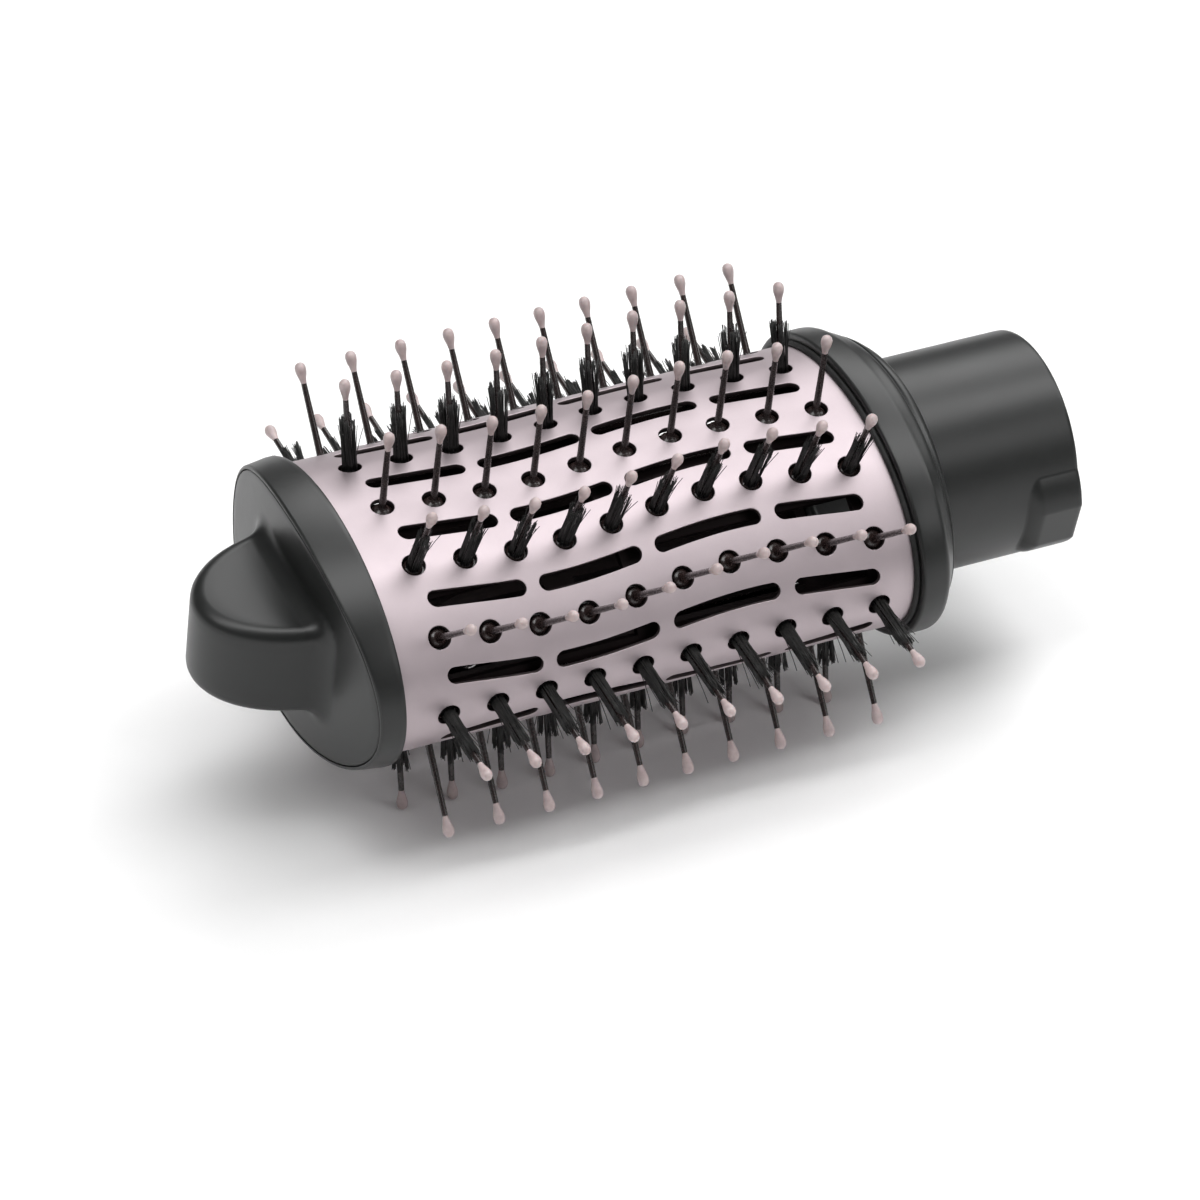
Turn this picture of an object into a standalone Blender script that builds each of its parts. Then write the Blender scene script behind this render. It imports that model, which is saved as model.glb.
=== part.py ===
"""Oval hot air brush head: perforated metal barrel, twelve pin and bristle strips, cool tip and neck.

Units are metres and +Z is up. The head is drawn in its own frame, with X along the barrel towards
the neck, Y across the wide way of the oval and Z across the narrow way. X = 0 is the front edge of
the visible metal. An empty then lays the head down on the pins of two rows.
"""
import bpy
import bmesh
import numpy as np
from math import atan2, cos, pi, radians, sin, sqrt
from mathutils import Matrix, Vector

MM = 0.001

# Barrel: an oval tube of thin metal.
HALF_WIDTH = 27.0 * MM
HALF_HEIGHT = 18.0 * MM
SLEEVE_WALL = 0.8 * MM
SLEEVE_START = -2.0 * MM
SLEEVE_END = 88.4 * MM
METAL_LENGTH = 86.3 * MM
GAP = 0.3 * MM

# Hole pattern: rows along the barrel, with a slot row between each two.
ROWS = 12
HOLES_PER_ROW = 10
FACETS = 2 * ROWS
FIRST_HOLE = 7.6 * MM
PITCH = 8.0 * MM
HOLE_RADIUS = 1.8 * MM
HOLE_SIDES = 6
SLOT_WIDTH = 2.7 * MM
SLOT_SPANS = ((0.0, 1.93), (2.2, 4.35), (4.65, 6.9), (7.2, 9.0))
WAVE_HEIGHT = 1.16 * MM
WAVE_LENGTH = 7.4
WAVE_START = 4.45
STRAIGHT_ROWS = (3, 9)

# Strips under the metal, with pins that stand through the holes.
STRIP_START = 0.6 * MM
STRIP_END = 83.3 * MM
STRIP_DEPTH = 1.1 * MM
STRIP_WALL = 1.2 * MM
STRIP_HALF = 2.8 * MM
STRAIGHT_STRIP_HALF = 2.0 * MM
PIN_HEIGHT = 14.6 * MM
BALL_HEIGHT = 13.2 * MM
BALL_RADIUS = 0.92 * MM
SHAFT_TOP = 11.6 * MM
SHAFT_RADIUS = 0.48 * MM
BOSS_RADIUS = 1.4 * MM
TUFT_HEIGHT = 8.2 * MM
TUFT_RADIUS = 1.5 * MM
PIN_SIDES = 4

# Inner duct in two halves, with windows under the slots.
CORE_DEPTH = 2.8 * MM
CORE_WALL = 1.4 * MM
WINDOW_WIDTH = 3.0 * MM
WINDOW_SPANS = ((6.0 * MM, 40.0 * MM), (45.0 * MM, 79.0 * MM))

# End plates inside the sleeve, and the neck's oval flange.
PLATE_DEPTH = 1.2 * MM
FRONT_PLATE = (-1.7 * MM, 0.3 * MM)
REAR_PLATE = (83.6 * MM, 85.3 * MM)
FLANGE = (85.6 * MM, 87.6 * MM)
DUCT_RADIUS = 13.4 * MM
DEFLECTOR_RADIUS = 11.0 * MM
DEFLECTOR_LENGTH = 26.0 * MM

# Front end: an oval rim and the cool tip inside it, both ending on one bowed face.
FACE_FRONT = -6.8 * MM
FACE_BOW_RADIUS = 134.0 * MM
RIM_PROUD_REAR = 1.6 * MM
RIM_PROUD_FRONT = 1.15 * MM
RIM_LIP = 0.6 * MM
TIP_BACK = -2.3 * MM
KNOB_ROOT = -3.4 * MM
KNOB_HALF_WIDTH = 12.7 * MM
KNOB_LENGTH = 18.9 * MM
KNOB_HALF_HEIGHT = 8.2 * MM
KNOB_ROUNDING = 2.0 * MM
KNOB_WALL = 2.2 * MM
FLARE = 2.6 * MM

# Rear end: seal ring, oval collar and round neck.
SEAL_LENGTH = 0.7 * MM
SEAL_PROUD = 1.0 * MM
COLLAR_PROUD = 2.0 * MM
COLLAR_WALL_START = 91.2 * MM
COLLAR_END = 94.4 * MM
COLLAR_END_HALVES = (22.0 * MM, 19.3 * MM)
NECK_RADIUS = 17.3 * MM
NECK_BORE = 15.2 * MM
NECK_START = 88.8 * MM
NECK_END = 119.3 * MM
SPIGOT_RADIUS = 16.4 * MM
NECK_ROUNDING = 0.5 * MM
LUG_RISE = 1.7 * MM
LUG_START = 110.4 * MM
LUG_RAMP = 2.2 * MM
LUG_TURN = radians(6.0)
LUG_HALF_TOP = radians(11.0)
LUG_HALF_FOOT = radians(29.0)

# Screws.
SCREW_RADIUS = 1.1 * MM
SCREW_HEAD_RADIUS = 2.2 * MM
SCREW_HEAD = 1.1 * MM
SCREW_HOLE = 1.45 * MM
TIP_SCREW_Y = 19.0 * MM
NECK_SCREW_Y = 21.0 * MM

OVAL_POINTS = 40
ROUND_STEPS = 40

# The head lies tilted about its own axis, on two neighbouring rows of pins.
REST_TILT = radians(8.6)


# Scene, collections and materials

def clear_scene():
    for item in list(bpy.data.objects):
        bpy.data.objects.remove(item, do_unlink=True)


def new_collection(name):
    group = bpy.data.collections.new(name)
    bpy.context.scene.collection.children.link(group)
    return group


def new_material(name, colour, roughness, metallic=0.0):
    material = bpy.data.materials.new(name)
    material.use_nodes = True
    shader = material.node_tree.nodes["Principled BSDF"]
    shader.inputs["Base Color"].default_value = (*colour, 1.0)
    shader.inputs["Roughness"].default_value = roughness
    shader.inputs["Metallic"].default_value = metallic
    return material


def add_object(name, bm, group, parent, material=None, smooth=False):
    """Turn a bmesh into an object under the parent."""
    bmesh.ops.recalc_face_normals(bm, faces=bm.faces)
    for face in bm.faces:
        face.smooth = smooth
    mesh = bpy.data.meshes.new(name)
    bm.to_mesh(mesh)
    bm.free()
    item = bpy.data.objects.new(name, mesh)
    if material:
        mesh.materials.append(material)
    group.objects.link(item)
    item.parent = parent
    return item


def boolean(item, other, operation):
    modifier = item.modifiers.new(operation.title(), "BOOLEAN")
    modifier.operation = operation
    modifier.solver = "EXACT"
    modifier.object = other
    other.hide_render = True
    other.display_type = "WIRE"


# Shape helpers

def oval(half_width, half_height, x, count=OVAL_POINTS):
    """Points of an ellipse at x, from the top towards -Y. x may be a function of y."""
    points = []
    for index in range(count):
        angle = 2 * pi * index / count
        y = -half_width * sin(angle)
        place = x(y) if callable(x) else x
        points.append(Vector((place, y, half_height * cos(angle))))
    return points


def skin(bm, loops, closed):
    """Join matching loops of points with quads. An open skin gets a face at each end."""
    rings = [[bm.verts.new(point) for point in loop] for loop in loops]
    pairs = list(zip(rings, rings[1:]))
    if closed:
        pairs.append((rings[-1], rings[0]))
    for first, second in pairs:
        for index in range(len(first)):
            after = (index + 1) % len(first)
            bm.faces.new((first[index], first[after], second[after], second[index]))
    if not closed:
        bm.faces.new(rings[0])
        bm.faces.new(rings[-1])


def prism(bm, outline, start, end):
    """Extrude an outline of (y, z) points along X."""
    face = bm.faces.new([bm.verts.new((start, y, z)) for y, z in outline])
    moved = bmesh.ops.extrude_face_region(bm, geom=[face])["geom"]
    verts = [part for part in moved if isinstance(part, bmesh.types.BMVert)]
    bmesh.ops.translate(bm, verts=verts, vec=(end - start, 0, 0))


def turned(bm, profile, steps, matrix):
    """Spin a profile of (radius, height) points about Z, then place it with the matrix."""
    verts = [bm.verts.new((radius, 0, height)) for radius, height in profile]
    edges = [bm.edges.new(pair) for pair in zip(verts, verts[1:])]
    if profile[0][0] > 0:
        edges.append(bm.edges.new((verts[-1], verts[0])))
    before = set(bm.verts) - set(verts)
    bmesh.ops.spin(bm, geom=verts + edges, cent=(0, 0, 0), axis=(0, 0, 1), angle=2 * pi,
                   steps=steps, use_merge=True)
    made = [vert for vert in bm.verts if vert not in before]
    bmesh.ops.remove_doubles(bm, verts=made, dist=1e-7)
    made = [vert for vert in bm.verts if vert not in before]
    bmesh.ops.transform(bm, matrix=matrix, verts=made)


ALONG_X = Matrix.Rotation(pi / 2, 4, "Y")


def cylinder(bm, radius, start, end, y=0.0, z=0.0, steps=8):
    profile = ((0, start), (radius, start), (radius, end), (0, end))
    turned(bm, profile, steps, Matrix.Translation((0, y, z)) @ ALONG_X)


# The barrel's section: a polygon on the oval, with a flat under every hole row and slot row

def oval_table(samples=7200):
    angle = np.linspace(0, 2 * pi, samples + 1)
    y = -HALF_WIDTH * np.sin(angle)
    z = HALF_HEIGHT * np.cos(angle)
    length = np.concatenate(([0], np.cumsum(np.hypot(np.diff(y), np.diff(z)))))
    return angle, length / length[-1]


ANGLES, FRACTIONS = oval_table()


def oval_corner(fraction, depth=0.0):
    """The (y, z) point at a fraction of the way round, sunk by depth along the normal."""
    angle = float(np.interp(fraction % 1.0, FRACTIONS, ANGLES))
    y = -HALF_WIDTH * sin(angle)
    z = HALF_HEIGHT * cos(angle)
    normal = Vector((y / HALF_WIDTH ** 2, z / HALF_HEIGHT ** 2)).normalized()
    return y - depth * normal.x, z - depth * normal.y


def section(depth):
    return [oval_corner((index + 0.5) / FACETS, depth) for index in range(FACETS)]


def flat_frame(row):
    """Matrix of the flat at a row number: X along the barrel, Y round it, Z outwards."""
    facet = round(2 * row)
    before = Vector((0, *oval_corner((facet + 0.5) / FACETS)))
    after = Vector((0, *oval_corner((facet - 0.5) / FACETS)))
    across = (after - before).normalized()
    along = Vector((1, 0, 0))
    matrix = Matrix((along, across, along.cross(across))).transposed().to_4x4()
    matrix.translation = (before + after) / 2
    return matrix


def wave(row, place):
    """Shift of the pattern in its flat, at a place counted in pitches from the first hole.

    The pattern leans to the same side of the head on the upper and lower faces.
    """
    if row in STRAIGHT_ROWS:
        return 0.0
    shift = WAVE_HEIGHT * sin(2 * pi * (WAVE_START - place) / WAVE_LENGTH)
    lower_half = ROWS / 4 < row < 3 * ROWS / 4
    return shift if lower_half else -shift


# Metal barrel

def slot_outline(row, span):
    """A slot with rounded ends and a bend in the middle, in its flat's frame."""
    half = SLOT_WIDTH / 2
    inset = half / PITCH
    places = (span[0] + inset, (span[0] + span[1]) / 2, span[1] - inset)
    middle = [(FIRST_HOLE + PITCH * place, wave(row, place)) for place in places]
    ends = ((middle[0], pi / 2), (middle[2], -pi / 2))
    points = []
    for (x, y), start in ends:
        for step in range(4):
            angle = start + pi * step / 3
            points.append((x + half * cos(angle), y + half * sin(angle)))
        if start > 0:
            points.append((middle[1][0], middle[1][1] - half))
    points.append((middle[1][0], middle[1][1] + half))
    return points


def sleeve_cutters(group, parent):
    bm = bmesh.new()
    low = -2.5 * SLEEVE_WALL
    high = 1.5 * SLEEVE_WALL
    for row in range(ROWS):
        frame = flat_frame(row)
        for hole in range(HOLES_PER_ROW):
            x = FIRST_HOLE + PITCH * hole
            profile = ((0, low), (HOLE_RADIUS, low), (HOLE_RADIUS, high), (0, high))
            place = frame @ Matrix.Translation((x, wave(row, hole), 0))
            turned(bm, profile, HOLE_SIDES, place)
        for span in SLOT_SPANS:
            frame = flat_frame(row + 0.5)
            outline = slot_outline(row + 0.5, span)
            skin(bm, [[frame @ Vector((x, y, z)) for x, y in outline] for z in (low, high)], False)
    return add_object("barrel_cutters", bm, group, parent)


def barrel_sleeve(group, cutters, parent):
    bm = bmesh.new()
    loops = []
    for depth, x in ((0, SLEEVE_START), (0, SLEEVE_END), (SLEEVE_WALL, SLEEVE_END),
                     (SLEEVE_WALL, SLEEVE_START)):
        loops.append([Vector((x, y, z)) for y, z in section(depth)])
    skin(bm, loops, True)
    material = new_material("barrel_sleeve", (0.74, 0.67, 0.69), 0.34, 0.85)
    item = add_object("barrel_sleeve", bm, group, parent, material)
    boolean(item, sleeve_cutters(cutters, parent), "DIFFERENCE")


# Strips

def pin_profile(bristles):
    foot = -STRIP_DEPTH - STRIP_WALL / 2
    if bristles:
        neck = ((BOSS_RADIUS, foot), (BOSS_RADIUS * 0.9, 0.0), (TUFT_RADIUS, TUFT_HEIGHT),
                (SHAFT_RADIUS, TUFT_HEIGHT + 0.3 * MM))
    else:
        neck = ((BOSS_RADIUS, foot), (BOSS_RADIUS, -0.4 * MM), (SHAFT_RADIUS, 0.2 * MM))
    top = ((SHAFT_RADIUS, SHAFT_TOP), (BALL_RADIUS, BALL_HEIGHT), (0, PIN_HEIGHT))
    return ((0, foot), *neck, *top)


def strip(group, cutters, parent, name, row, bristles, material):
    """A moulded bar with ten parallel pins. Bristle strips have a tuft round each pin."""
    half = STRAIGHT_STRIP_HALF if row in STRAIGHT_ROWS else STRIP_HALF
    bm = bmesh.new()
    low = -STRIP_DEPTH - STRIP_WALL
    prism(bm, ((-half, low), (half, low), (half, -STRIP_DEPTH), (-half, -STRIP_DEPTH)),
          STRIP_START, STRIP_END)
    item = add_object(name, bm, group, parent, material)
    item.matrix_local = flat_frame(row)
    bm = bmesh.new()
    for hole in range(HOLES_PER_ROW):
        place = Matrix.Translation((FIRST_HOLE + PITCH * hole, wave(row, hole), 0))
        turned(bm, pin_profile(bristles), PIN_SIDES, place)
    pins = add_object(name + "_pins", bm, cutters, parent)
    pins.matrix_local = flat_frame(row)
    boolean(item, pins, "UNION")


def strips(group, cutters, parent):
    for row in range(ROWS):
        bristles = row % 2 == 1
        kind = "bristle_strip" if bristles else "pin_strip"
        name = "%s_%d" % (kind, row // 2 + 1)
        colour = (0.012, 0.012, 0.013) if bristles else (0.03, 0.03, 0.032)
        strip(group, cutters, parent, name, row, bristles, new_material(name, colour, 0.5))


# Inner duct and end plates

def core_half(group, cutters, parent, name, side):
    """Half of the inner duct: side is 1 for the upper half and -1 for the lower half."""
    edge = GAP / 2
    loops = []
    for depth in (CORE_DEPTH, CORE_DEPTH + CORE_WALL):
        corners = [(y, z) for y, z in section(depth) if z * side > 1.5 * MM]
        corners.sort(key=lambda corner: -side * atan2(corner[0], corner[1] * side))
        limit = HALF_WIDTH - depth - 0.15 * MM
        turn = 1 if corners[0][0] > 0 else -1
        loops.append([(turn * limit, side * edge), *corners, (-turn * limit, side * edge)])
    outline = loops[0] + loops[1][::-1]
    bm = bmesh.new()
    prism(bm, outline, STRIP_START, STRIP_END)
    colour = (0.035, 0.035, 0.035) if side > 0 else (0.045, 0.045, 0.045)
    item = add_object(name, bm, group, parent, new_material(name, colour, 0.6))
    bm = bmesh.new()
    for row in range(ROWS):
        frame = flat_frame(row + 0.5)
        if frame.translation.z * side < 0:
            continue
        for start, end in WINDOW_SPANS:
            size = Matrix.Diagonal((end - start, WINDOW_WIDTH, 4 * CORE_WALL, 1))
            place = Matrix.Translation(((start + end) / 2, 0, -CORE_DEPTH - CORE_WALL / 2))
            bmesh.ops.create_cube(bm, size=1, matrix=frame @ place @ size)
    boolean(item, add_object(name + "_windows", bm, cutters, parent), "DIFFERENCE")


def front_bulkhead(group, cutters, parent):
    """Plate inside the sleeve that carries the cool tip and holds the strips' front ends."""
    bm = bmesh.new()
    prism(bm, section(PLATE_DEPTH), *FRONT_PLATE)
    material = new_material("front_bulkhead", (0.05, 0.05, 0.055), 0.55)
    item = add_object("front_bulkhead", bm, group, parent, material)
    bm = bmesh.new()
    for side in (-1, 1):
        cylinder(bm, SCREW_HOLE, FRONT_PLATE[0] - 1 * MM, FRONT_PLATE[1] + 1 * MM,
                 y=side * TIP_SCREW_Y)
    boolean(item, add_object("front_bulkhead_holes", bm, cutters, parent), "DIFFERENCE")


def rear_bulkhead(group, cutters, parent):
    """Ring plate that holds the strips' rear ends and lets the air in."""
    bm = bmesh.new()
    prism(bm, section(PLATE_DEPTH), *REAR_PLATE)
    material = new_material("rear_bulkhead", (0.06, 0.06, 0.06), 0.55)
    item = add_object("rear_bulkhead", bm, group, parent, material)
    bm = bmesh.new()
    start = REAR_PLATE[0] - 1 * MM
    end = REAR_PLATE[1] + 1 * MM
    cylinder(bm, DUCT_RADIUS, start, end, steps=24)
    for side in (-1, 1):
        cylinder(bm, SCREW_HOLE, start, end, y=side * NECK_SCREW_Y)
    boolean(item, add_object("rear_bulkhead_holes", bm, cutters, parent), "DIFFERENCE")


def air_deflector(group, parent):
    """Cone on the front bulkhead that turns the air outwards."""
    bm = bmesh.new()
    base = FRONT_PLATE[1] + GAP
    profile = ((0, base), (DEFLECTOR_RADIUS, base), (DEFLECTOR_RADIUS, base + 1.5 * MM),
               (4.5 * MM, base + 0.45 * DEFLECTOR_LENGTH), (1.2 * MM, base + DEFLECTOR_LENGTH),
               (0, base + DEFLECTOR_LENGTH + 0.5 * MM))
    turned(bm, profile, 16, ALONG_X)
    material = new_material("air_deflector", (0.08, 0.08, 0.08), 0.5)
    add_object("air_deflector", bm, group, parent, material, smooth=True)


def screw(group, parent, name, y, under_head, tip):
    """A pan-head screw along X. The head is on the side away from the tip."""
    outward = 1 if under_head > tip else -1
    top = under_head + outward * SCREW_HEAD
    profile = ((0, tip), (SCREW_RADIUS, tip), (SCREW_RADIUS, under_head),
               (SCREW_HEAD_RADIUS, under_head), (SCREW_HEAD_RADIUS * 0.9, top), (0, top))
    bm = bmesh.new()
    turned(bm, profile, 8, Matrix.Translation((0, y, 0)) @ ALONG_X)
    add_object(name, bm, group, parent, new_material(name, (0.6, 0.6, 0.6), 0.3, 1.0))


def screws(group, parent):
    for side, word in ((-1, "left"), (1, "right")):
        screw(group, parent, "tip_screw_" + word, side * TIP_SCREW_Y,
              FRONT_PLATE[1] + 0.2 * MM, TIP_BACK - 2.0 * MM)
        screw(group, parent, "neck_screw_" + word, side * NECK_SCREW_Y,
              FLANGE[1] + 0.2 * MM, REAR_PLATE[0] + 0.3 * MM)


# Front end

def face_bow(y):
    """X of the bowed front face at a distance y from the middle."""
    return FACE_FRONT + FACE_BOW_RADIUS - sqrt(FACE_BOW_RADIUS ** 2 - y ** 2)


def front_rim(group, parent):
    """Oval plastic rim over the sleeve's front end."""
    outer = (HALF_WIDTH + RIM_PROUD_REAR, HALF_HEIGHT + RIM_PROUD_REAR)
    edge = (HALF_WIDTH + RIM_PROUD_FRONT, HALF_HEIGHT + RIM_PROUD_FRONT)
    lip = (edge[0] - RIM_LIP, edge[1] - RIM_LIP)
    bore = (HALF_WIDTH + GAP, HALF_HEIGHT + GAP)
    loops = [oval(*outer, 0.0), oval(*outer, -1.0 * MM), oval(*edge, face_bow),
             oval(*lip, face_bow), oval(*lip, TIP_BACK), oval(*bore, TIP_BACK), oval(*bore, 0.0)]
    bm = bmesh.new()
    skin(bm, loops, True)
    material = new_material("front_rim", (0.045, 0.047, 0.046), 0.5)
    add_object("front_rim", bm, group, parent, material, smooth=True)


def knob_outline(half_width, length, root):
    """Half oval in the XY plane, from one side of the root to the other."""
    points = []
    steps = 16
    for index in range(steps + 1):
        angle = pi * index / steps
        points.append((KNOB_ROOT - length * sin(angle), half_width * cos(angle)))
    return [(root, half_width), *points, (root, -half_width)]


def knob_solid(bm, half_width, length, half_height, root, rounding):
    outline = knob_outline(half_width, length, root)
    face = bm.faces.new([bm.verts.new((x, y, -half_height)) for x, y in outline])
    moved = bmesh.ops.extrude_face_region(bm, geom=[face])["geom"]
    verts = [part for part in moved if isinstance(part, bmesh.types.BMVert)]
    bmesh.ops.translate(bm, verts=verts, vec=(0, 0, 2 * half_height))
    if rounding:
        edges = [edge for edge in bm.edges
                 if abs(abs(edge.verts[0].co.z) - half_height) < 1e-6
                 and abs(edge.verts[0].co.z - edge.verts[1].co.z) < 1e-6]
        bmesh.ops.bevel(bm, geom=edges, offset=rounding, segments=3, profile=0.5,
                        affect="EDGES", material=-1)


def rounded_box(x, half_width, half_height, corner):
    """Rounded rectangle at x, four points to each corner."""
    points = []
    for quarter, (sy, sz) in enumerate(((1, 1), (-1, 1), (-1, -1), (1, -1))):
        for step in range(4):
            angle = pi / 2 * (quarter + step / 3)
            points.append(Vector((x, sy * (half_width - corner) + corner * cos(angle),
                                  sz * (half_height - corner) + corner * sin(angle))))
    return points


def knob_flare(bm):
    """Hollow curve where the knob meets the face."""
    loops = []
    for rise, spread in ((-1.5, 1.0), (0.2, 0.85), (0.9, 0.42), (2.0, 0.12), (3.4, -0.1)):
        width = KNOB_HALF_WIDTH - 0.3 * MM + FLARE * spread
        height = KNOB_HALF_HEIGHT + FLARE * spread
        loops.append(rounded_box(FACE_FRONT - rise * MM, width, height, 3.2 * MM))
    skin(bm, loops, False)


def cool_tip(group, cutters, parent):
    """Bowed face plate with the finger knob, hollow from behind."""
    outline = (HALF_WIDTH + RIM_PROUD_FRONT - RIM_LIP - GAP,
               HALF_HEIGHT + RIM_PROUD_FRONT - RIM_LIP - GAP)
    bm = bmesh.new()
    slices = 8
    columns = []
    for index in range(-slices, slices + 1):
        y = outline[0] * sin(pi / 2 * index / slices)
        columns.append(y)
    upper = [(y, outline[1] * sqrt(max(0.0, 1 - (y / outline[0]) ** 2))) for y in columns]
    back = [bm.verts.new((TIP_BACK, y, z)) for y, z in upper]
    back_low = [bm.verts.new((TIP_BACK, y, -z)) for y, z in upper[1:-1]]
    front = [bm.verts.new((face_bow(y), y, z)) for y, z in upper]
    front_low = [bm.verts.new((face_bow(y), y, -z)) for y, z in upper[1:-1]]
    back_low = [back[0], *back_low, back[-1]]
    front_low = [front[0], *front_low, front[-1]]
    for index in range(2 * slices):
        for high, low in ((front, front_low), (back, back_low)):
            corners = (high[index], high[index + 1], low[index + 1], low[index])
            bm.faces.new(list(dict.fromkeys(corners)))
        for near, far in ((front, back), (front_low, back_low)):
            bm.faces.new((near[index], near[index + 1], far[index + 1], far[index]))
    material = new_material("cool_tip", (0.04, 0.042, 0.041), 0.48)
    item = add_object("cool_tip", bm, group, parent, material)

    bm = bmesh.new()
    knob_flare(bm)
    boolean(item, add_object("knob_flare", bm, cutters, parent), "UNION")
    bm = bmesh.new()
    knob_solid(bm, KNOB_HALF_WIDTH, KNOB_LENGTH, KNOB_HALF_HEIGHT, TIP_BACK - 1 * MM,
               KNOB_ROUNDING)
    boolean(item, add_object("knob_body", bm, cutters, parent), "UNION")
    bm = bmesh.new()
    knob_solid(bm, KNOB_HALF_WIDTH - KNOB_WALL, KNOB_LENGTH - KNOB_WALL,
               KNOB_HALF_HEIGHT - KNOB_WALL, TIP_BACK + 1 * MM, 0)
    for side in (-1, 1):
        cylinder(bm, SCREW_HOLE, TIP_BACK - 2.3 * MM, TIP_BACK + 1 * MM, y=side * TIP_SCREW_Y)
    boolean(item, add_object("knob_hollow", bm, cutters, parent), "DIFFERENCE")


# Rear end

def rear_seal_ring(group, parent):
    """Dark ring between the metal and the collar."""
    start = METAL_LENGTH - SEAL_LENGTH - GAP
    end = METAL_LENGTH - GAP
    inner = (HALF_WIDTH + GAP, HALF_HEIGHT + GAP)
    outer = (HALF_WIDTH + SEAL_PROUD, HALF_HEIGHT + SEAL_PROUD)
    bm = bmesh.new()
    skin(bm, [oval(*outer, start), oval(*outer, end), oval(*inner, end), oval(*inner, start)], True)
    material = new_material("rear_seal_ring", (0.015, 0.015, 0.015), 0.7)
    add_object("rear_seal_ring", bm, group, parent, material, smooth=True)


def rear_collar(group, parent):
    """Oval collar over the sleeve's rear end that closes down to the round neck."""
    inner = (HALF_WIDTH + GAP, HALF_HEIGHT + GAP)
    start = (HALF_WIDTH + SEAL_PROUD + 0.3 * MM, HALF_HEIGHT + SEAL_PROUD + 0.3 * MM)
    band = (HALF_WIDTH + COLLAR_PROUD, HALF_HEIGHT + COLLAR_PROUD)
    hole = NECK_RADIUS + GAP
    loops = [oval(*start, METAL_LENGTH), oval(*band, METAL_LENGTH + 0.7 * MM),
             oval(*band, COLLAR_END - 4.6 * MM),
             oval(band[0] - 0.7 * MM, band[1] - 0.1 * MM, COLLAR_END - 3.5 * MM),
             oval(band[0] - 3.3 * MM, band[1] - 0.3 * MM, COLLAR_END - 1.6 * MM),
             oval(*COLLAR_END_HALVES, COLLAR_END),
             oval(hole, hole, COLLAR_END), oval(hole, hole, COLLAR_WALL_START),
             oval(*inner, COLLAR_WALL_START), oval(*inner, METAL_LENGTH)]
    bm = bmesh.new()
    skin(bm, loops, True)
    material = new_material("rear_collar", (0.045, 0.048, 0.047), 0.5)
    add_object("rear_collar", bm, group, parent, material, smooth=True)


def lug(bm, side):
    """Raised key pad with a flat top and a ramped front, on the side of the neck."""
    middle = LUG_TURN + (0 if side < 0 else pi)
    foot = NECK_RADIUS - 0.4 * MM
    low = NECK_RADIUS - 0.05 * MM
    top = NECK_RADIUS + LUG_RISE
    end = NECK_END - 0.4 * MM
    loops = []
    for x, reach in ((LUG_START, low), (LUG_START + LUG_RAMP, top), (end, top)):
        loop = []
        for turn, radius in ((-LUG_HALF_FOOT, foot), (-LUG_HALF_TOP, reach),
                             (LUG_HALF_TOP, reach), (LUG_HALF_FOOT, foot),
                             (LUG_HALF_TOP / 2, foot * 0.93), (-LUG_HALF_TOP / 2, foot * 0.93)):
            angle = middle + turn
            loop.append(Vector((x, -radius * cos(angle), -radius * sin(angle))))
        loops.append(loop)
    skin(bm, loops, False)


def neck_tube(group, cutters, parent):
    """Round neck that slides over the handle's nose, with an oval flange inside the sleeve."""
    profile = ((SPIGOT_RADIUS, FLANGE[0]), (SPIGOT_RADIUS, NECK_START),
               (NECK_RADIUS, NECK_START), (NECK_RADIUS, NECK_END - NECK_ROUNDING),
               (NECK_RADIUS - NECK_ROUNDING, NECK_END), (NECK_BORE, NECK_END),
               (NECK_BORE, FLANGE[1] + 1 * MM), (DUCT_RADIUS, FLANGE[1]), (DUCT_RADIUS, FLANGE[0]))
    bm = bmesh.new()
    turned(bm, profile, ROUND_STEPS, ALONG_X)
    material = new_material("neck_tube", (0.04, 0.042, 0.042), 0.45)
    item = add_object("neck_tube", bm, group, parent, material, smooth=True)
    bm = bmesh.new()
    loops = []
    for x in (FLANGE[0] + 0.1 * MM, FLANGE[1]):
        loops.append([Vector((x, y, z)) for y, z in section(PLATE_DEPTH)])
    inner = [oval(SPIGOT_RADIUS - 1 * MM, SPIGOT_RADIUS - 1 * MM, x, FACETS)
             for x in (FLANGE[1], FLANGE[0] + 0.1 * MM)]
    skin(bm, loops + inner, True)
    boolean(item, add_object("neck_flange", bm, cutters, parent), "UNION")
    bm = bmesh.new()
    for side in (-1, 1):
        lug(bm, side)
    boolean(item, add_object("neck_lugs", bm, cutters, parent), "UNION")
    bm = bmesh.new()
    for side in (-1, 1):
        cylinder(bm, SCREW_HOLE, FLANGE[0] - 1 * MM, FLANGE[1] + 1 * MM, y=side * NECK_SCREW_Y)
    boolean(item, add_object("neck_holes", bm, cutters, parent), "DIFFERENCE")


def rest_frame(group):
    """Empty that lays the head on its pins, centred over the origin with its lowest tips at 0."""
    knob_end = KNOB_ROOT - KNOB_LENGTH
    frame = bpy.data.objects.new("rest_frame", None)
    frame.rotation_euler = (REST_TILT, 0, 0)
    frame.location.x = -(knob_end + NECK_END) / 2
    lowest = 0.0
    for row in range(ROWS):
        for hole in range(HOLES_PER_ROW):
            tip = flat_frame(row) @ Vector((0, wave(row, hole), PIN_HEIGHT))
            lowest = min(lowest, tip.y * sin(REST_TILT) + tip.z * cos(REST_TILT))
    frame.location.z = -lowest
    group.objects.link(frame)
    return frame


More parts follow.
